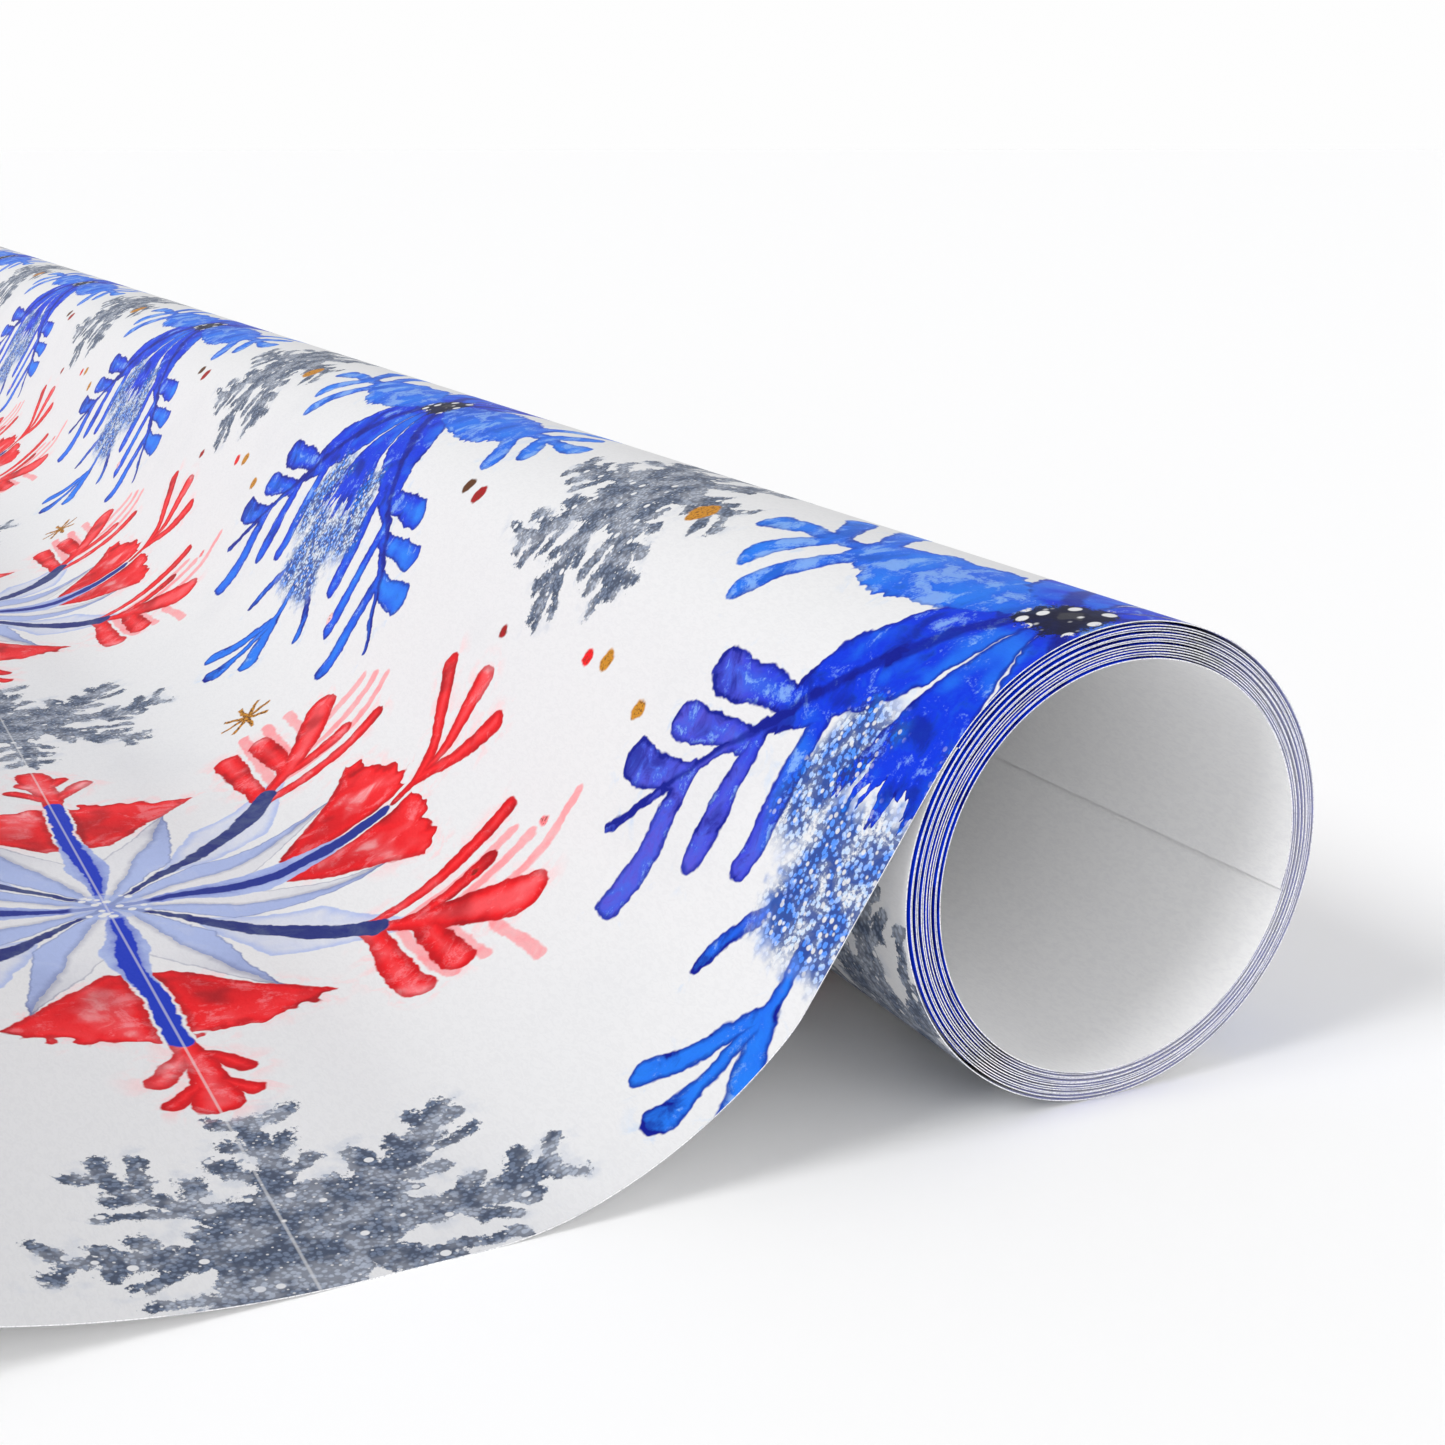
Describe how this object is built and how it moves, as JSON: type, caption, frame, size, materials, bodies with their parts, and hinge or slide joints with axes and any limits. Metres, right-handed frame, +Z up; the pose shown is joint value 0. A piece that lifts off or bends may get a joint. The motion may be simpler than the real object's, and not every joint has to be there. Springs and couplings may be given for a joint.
{
  "type": "wrapping paper roll",
  "caption": "Coreless roll of patterned gift wrapping paper, wound printed side out, with its free leaf drawn off the top and run out flat beside it.",
  "frame": {"origin": "on the table, under the middle of the object's box", "axes": "+Z up, +Y along the roll, away from the end that shows its coiled edges; the free leaf runs out towards -X"},
  "size_m": [0.2012, 0.762, 0.0422],
  "materials": {
    "printed_paper": "satin coated paper, printed outside with blue, silver and red watercolour snowflakes on white; roughness about 0.4",
    "paper_back": "plain white uncoated back of the same paper, matt; roughness about 0.7"
  },
  "bodies": {
    "outer_turn": {"turn_01": "printed_paper", "leaf_drop": "printed_paper", "leaf_sweep": "printed_paper", "leaf_landing": "printed_paper"},
    "turn_02": {"turn_02": "paper_back"},
    "turn_03": {"turn_03": "paper_back"},
    "turn_04": {"turn_04": "paper_back"},
    "turn_05": {"turn_05": "paper_back"},
    "turn_06": {"turn_06": "paper_back"},
    "turn_07": {"turn_07": "paper_back"},
    "turn_08": {"turn_08": "paper_back"},
    "turn_09": {"turn_09": "paper_back"},
    "turn_10": {"turn_10": "paper_back"},
    "turn_11": {"turn_11": "paper_back"},
    "turn_12": {"turn_12": "paper_back"},
    "turn_13": {"turn_13": "paper_back"},
    "inner_end": {"inner_end": "paper_back"},
    "leaf_panel_1": {"leaf_panel_1": "printed_paper"},
    "leaf_panel_2": {"leaf_panel_2": "printed_paper"},
    "leaf_panel_3": {"leaf_panel_3": "printed_paper"},
    "leaf_panel_4": {"leaf_panel_4": "printed_paper"},
    "leaf_panel_5": {"leaf_panel_5": "printed_paper"}
  },
  "joints": [
    {"name": "roll_spin", "type": "hinge", "parent": "outer_turn", "child": "turn_02", "pos_m": [0.07944, 0, 0.02106], "axis": [0, 1, 0], "continuous": true},
    {"name": "coil_slide_03", "type": "slide", "parent": "turn_02", "child": "turn_03", "axis": [0, -1, 0], "range_m": [0, 0.003]},
    {"name": "coil_slide_04", "type": "slide", "parent": "turn_03", "child": "turn_04", "axis": [0, -1, 0], "range_m": [0, 0.003]},
    {"name": "coil_slide_05", "type": "slide", "parent": "turn_04", "child": "turn_05", "axis": [0, -1, 0], "range_m": [0, 0.003]},
    {"name": "coil_slide_06", "type": "slide", "parent": "turn_05", "child": "turn_06", "axis": [0, -1, 0], "range_m": [0, 0.003]},
    {"name": "coil_slide_07", "type": "slide", "parent": "turn_06", "child": "turn_07", "axis": [0, -1, 0], "range_m": [0, 0.003]},
    {"name": "coil_slide_08", "type": "slide", "parent": "turn_07", "child": "turn_08", "axis": [0, -1, 0], "range_m": [0, 0.003]},
    {"name": "coil_slide_09", "type": "slide", "parent": "turn_08", "child": "turn_09", "axis": [0, -1, 0], "range_m": [0, 0.003]},
    {"name": "coil_slide_10", "type": "slide", "parent": "turn_09", "child": "turn_10", "axis": [0, -1, 0], "range_m": [0, 0.003]},
    {"name": "coil_slide_11", "type": "slide", "parent": "turn_10", "child": "turn_11", "axis": [0, -1, 0], "range_m": [0, 0.003]},
    {"name": "coil_slide_12", "type": "slide", "parent": "turn_11", "child": "turn_12", "axis": [0, -1, 0], "range_m": [0, 0.003]},
    {"name": "coil_slide_13", "type": "slide", "parent": "turn_12", "child": "turn_13", "axis": [0, -1, 0], "range_m": [0, 0.003]},
    {"name": "inner_end_slide", "type": "slide", "parent": "turn_13", "child": "inner_end", "axis": [0, -1, 0], "range_m": [0, 0.003]},
    {"name": "leaf_bend_1", "type": "hinge", "parent": "outer_turn", "child": "leaf_panel_1", "pos_m": [0.01401, 0, 0.00005], "axis": [0, 1, 0], "range_deg": [0, 15]},
    {"name": "leaf_bend_2", "type": "hinge", "parent": "leaf_panel_1", "child": "leaf_panel_2", "pos_m": [-0.00891, 0, 0.00271], "axis": [0, 1, 0], "range_deg": [0, 15]},
    {"name": "leaf_bend_3", "type": "hinge", "parent": "leaf_panel_2", "child": "leaf_panel_3", "pos_m": [-0.0317, 0, 0.006], "axis": [0, 1, 0], "range_deg": [0, 15]},
    {"name": "leaf_bend_4", "type": "hinge", "parent": "leaf_panel_3", "child": "leaf_panel_4", "pos_m": [-0.05442, 0, 0.00197], "axis": [0, 1, 0], "range_deg": [0, 15]},
    {"name": "leaf_bend_5", "type": "hinge", "parent": "leaf_panel_4", "child": "leaf_panel_5", "pos_m": [-0.07742, 0, 0.00005], "axis": [0, 1, 0], "range_deg": [0, 15]}
  ],
  "couplings": [
    {"joint": "coil_slide_04", "follows": "coil_slide_03", "ratio": 1},
    {"joint": "coil_slide_05", "follows": "coil_slide_03", "ratio": 1},
    {"joint": "coil_slide_06", "follows": "coil_slide_03", "ratio": 1},
    {"joint": "coil_slide_07", "follows": "coil_slide_03", "ratio": 1},
    {"joint": "coil_slide_08", "follows": "coil_slide_03", "ratio": 1},
    {"joint": "coil_slide_09", "follows": "coil_slide_03", "ratio": 1},
    {"joint": "coil_slide_10", "follows": "coil_slide_03", "ratio": 1},
    {"joint": "coil_slide_11", "follows": "coil_slide_03", "ratio": 1},
    {"joint": "coil_slide_12", "follows": "coil_slide_03", "ratio": 1},
    {"joint": "coil_slide_13", "follows": "coil_slide_03", "ratio": 1},
    {"joint": "inner_end_slide", "follows": "coil_slide_03", "ratio": 1},
    {"joint": "leaf_bend_2", "follows": "leaf_bend_1", "ratio": 1},
    {"joint": "leaf_bend_3", "follows": "leaf_bend_1", "ratio": 1},
    {"joint": "leaf_bend_4", "follows": "leaf_bend_1", "ratio": 1},
    {"joint": "leaf_bend_5", "follows": "leaf_bend_1", "ratio": 1}
  ]
}
